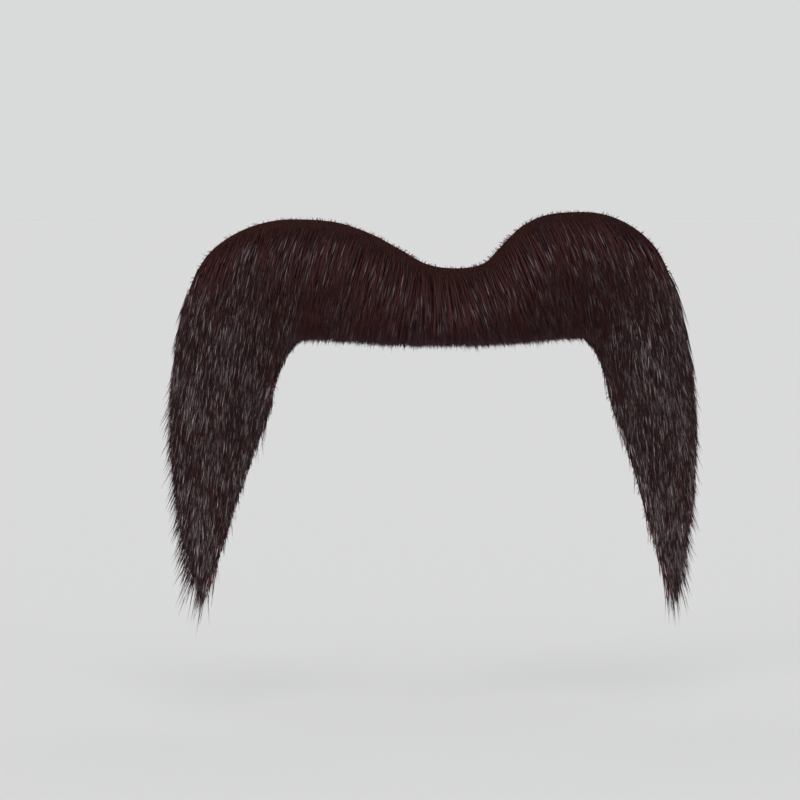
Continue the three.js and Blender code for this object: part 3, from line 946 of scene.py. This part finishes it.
# A dark sheet under the hair: dense hair near the roots, and painted shade that fills the gaps between the
# hairs
undercoatAndShade = {
    "runs": 220,
    "lanes": 16,
    "share": 0.45,  # of the fur's height
    "leastGrown": 0.25,  # of that share, along the outer edge
    "grownBefore": 1 * mm,
    "overhang": 0.35 * mm,  # past the cloth's edges
    "edgeHeight": 0.3 * mm,
    "edgeWidth": 3 * mm,
    "dark": (0.010, 0.004, 0.0035),
    "light": (0.030, 0.011, 0.009),
    "streaks": 3200,
    "streakStretch": (1, 1, 0.12),
    "bumpDepth": 0.5 * mm,
    "roughness": 0.8,
    "streakRoughness": 0.1,
    "shine": 0.05,
}


def undercoatAndShadeMould(run, share, layer):
    outer, inner = placeOnBand(run, np.zeros_like(share)), placeOnBand(run, np.ones_like(share))
    width = np.linalg.norm(inner - outer, axis=1)
    past = undercoatAndShade["overhang"] / width
    place = outer + (inner - outer) * (share * (1 + 2 * past) - past)[:, None]
    grown = np.minimum(1, (share * width + undercoatAndShade["grownBefore"]) / hair["length"]) ** hair["rise"]
    grown = undercoatAndShade["leastGrown"] + (1 - undercoatAndShade["leastGrown"]) * grown
    full = undercoatAndShade["share"] * pileAt(place) * grown
    atEdge = smoothStep(clothDepth(place), undercoatAndShade["edgeWidth"], 0)
    return offSkin(place, furBack + layer * (full * (1 - atEdge) + undercoatAndShade["edgeHeight"] * atEdge))


def undercoatAndShadeFinish():
    look = Finish("denseUndercoatAndPaintedShade")
    place = look.node("ShaderNodeTexCoord", {}, {}, "Object")
    stretched = look.node("ShaderNodeMapping", {}, {"Vector": place, "Scale": undercoatAndShade["streakStretch"]})
    streaks = look.node("ShaderNodeTexNoise", {}, {
        "Vector": stretched, "Scale": undercoatAndShade["streaks"], "Detail": 3})
    # Dark streaked colour, partly the dense hair's own and partly painted shade
    colour = look.mix(streaks, undercoatAndShade["dark"], undercoatAndShade["light"])
    bump = look.node("ShaderNodeBump", {}, {
        "Strength": 1.0, "Distance": undercoatAndShade["bumpDepth"], "Height": streaks})
    roughness = undercoatAndShade["roughness"] + streaks * undercoatAndShade["streakRoughness"]
    return look.surface(
        Base_Color=colour, Roughness=roughness, Specular_IOR_Level=undercoatAndShade["shine"], Normal=bump)


undercoatAndShadePiece = mouldedSlab("undercoatAndShade", undercoatAndShade["runs"], undercoatAndShade["lanes"], undercoatAndShadeMould)
dress(undercoatAndShadePiece, undercoatAndShadeFinish(), "fur_pile")

print("Setting the stage")
stage = {
    "floorBelow": 22 * mm,  # under the lowest hair
    "floorSize": 8.0,
    "floorColour": (0.718, 0.718, 0.718),
    "floorRoughness": 0.85,
    "grain": 60,
    "grainRoughness": 0.05,
    "skyColour": (0.97, 0.975, 0.98),
    "skyStrength": 0.72,
}
floorHeight = cadBox[0].z - stage["floorBelow"]
bpy.ops.object.select_all(action="DESELECT")
bpy.ops.mesh.primitive_plane_add(size=stage["floorSize"], location=(0, 0, floorHeight))
floor = bpy.context.object
floor.name = "floor"
floorLook = Finish("palePaper")
floorPlace = floorLook.node("ShaderNodeTexCoord", {}, {}, "Object")
floorGrain = floorLook.node("ShaderNodeTexNoise", {}, {
    "Vector": floorPlace, "Scale": stage["grain"], "Detail": 3})
floorRoughness = stage["floorRoughness"] + floorGrain * stage["grainRoughness"]
floor.data.materials.append(floorLook.surface(Base_Color=stage["floorColour"], Roughness=floorRoughness))

world = bpy.data.worlds.new("paleStudio")
bpy.context.scene.world = world
world.use_nodes = True
sky = world.node_tree.nodes["Background"]
sky.inputs["Color"].default_value = (*stage["skyColour"], 1)
sky.inputs["Strength"].default_value = stage["skyStrength"]


def directionOf(azimuth, elevation):
    # From the origin, in degrees, with azimuth 0 in front of the moustache
    a, e = math.radians(azimuth), math.radians(elevation)
    return Vector((math.sin(a) * math.cos(e), -math.cos(a) * math.cos(e), math.sin(e)))


# Wide soft lights from far off: azimuth, elevation and width in degrees, and strength
lights = {
    "leftLight": (-50, 12, 28, 1.85),
    "rightLight": (48, 12, 28, 0.88),
    "topLight": (-5, 38, 28, 0.4),
}
for name, (azimuth, elevation, width, strength) in lights.items():
    data = bpy.data.lights.new(name, "SUN")
    data.angle = math.radians(width)
    data.energy = strength
    lamp = bpy.data.objects.new(name, data)
    bpy.context.scene.collection.objects.link(lamp)
    lamp.location = directionOf(azimuth, elevation)
    lamp.rotation_euler = lamp.location.to_track_quat("Z", "Y").to_euler()

print("Placing the camera")
camera = {
    "azimuth": -6.0,
    "elevation": 4.0,
    "distance": 0.72,
    "originAt": (445, 309),  # pixel of the photograph where the part's origin lies
    "pixelsPerMetre": 5460,
    "frame": 800,  # pixels
    "sensor": 36,
    "nearest": 50 * mm,
}
back = directionOf(camera["azimuth"], camera["elevation"])
upright = back.to_track_quat("Z", "Y").to_matrix()
offCentre = [(camera["frame"] / 2 - pixel) / camera["pixelsPerMetre"] for pixel in camera["originAt"]]
aim = upright @ Vector((offCentre[0], -offCentre[1], 0))
data = bpy.data.cameras.new("camera")
data.sensor_width = camera["sensor"]
data.lens = camera["sensor"] * camera["distance"] * camera["pixelsPerMetre"] / camera["frame"]
data.clip_start = camera["nearest"]
viewer = bpy.data.objects.new("camera", data)
bpy.context.scene.collection.objects.link(viewer)
viewer.matrix_world = Matrix.Translation(aim + back * camera["distance"]) @ upright.to_4x4()
bpy.context.scene.camera = viewer
bpy.context.scene.view_settings.view_transform = "Standard"
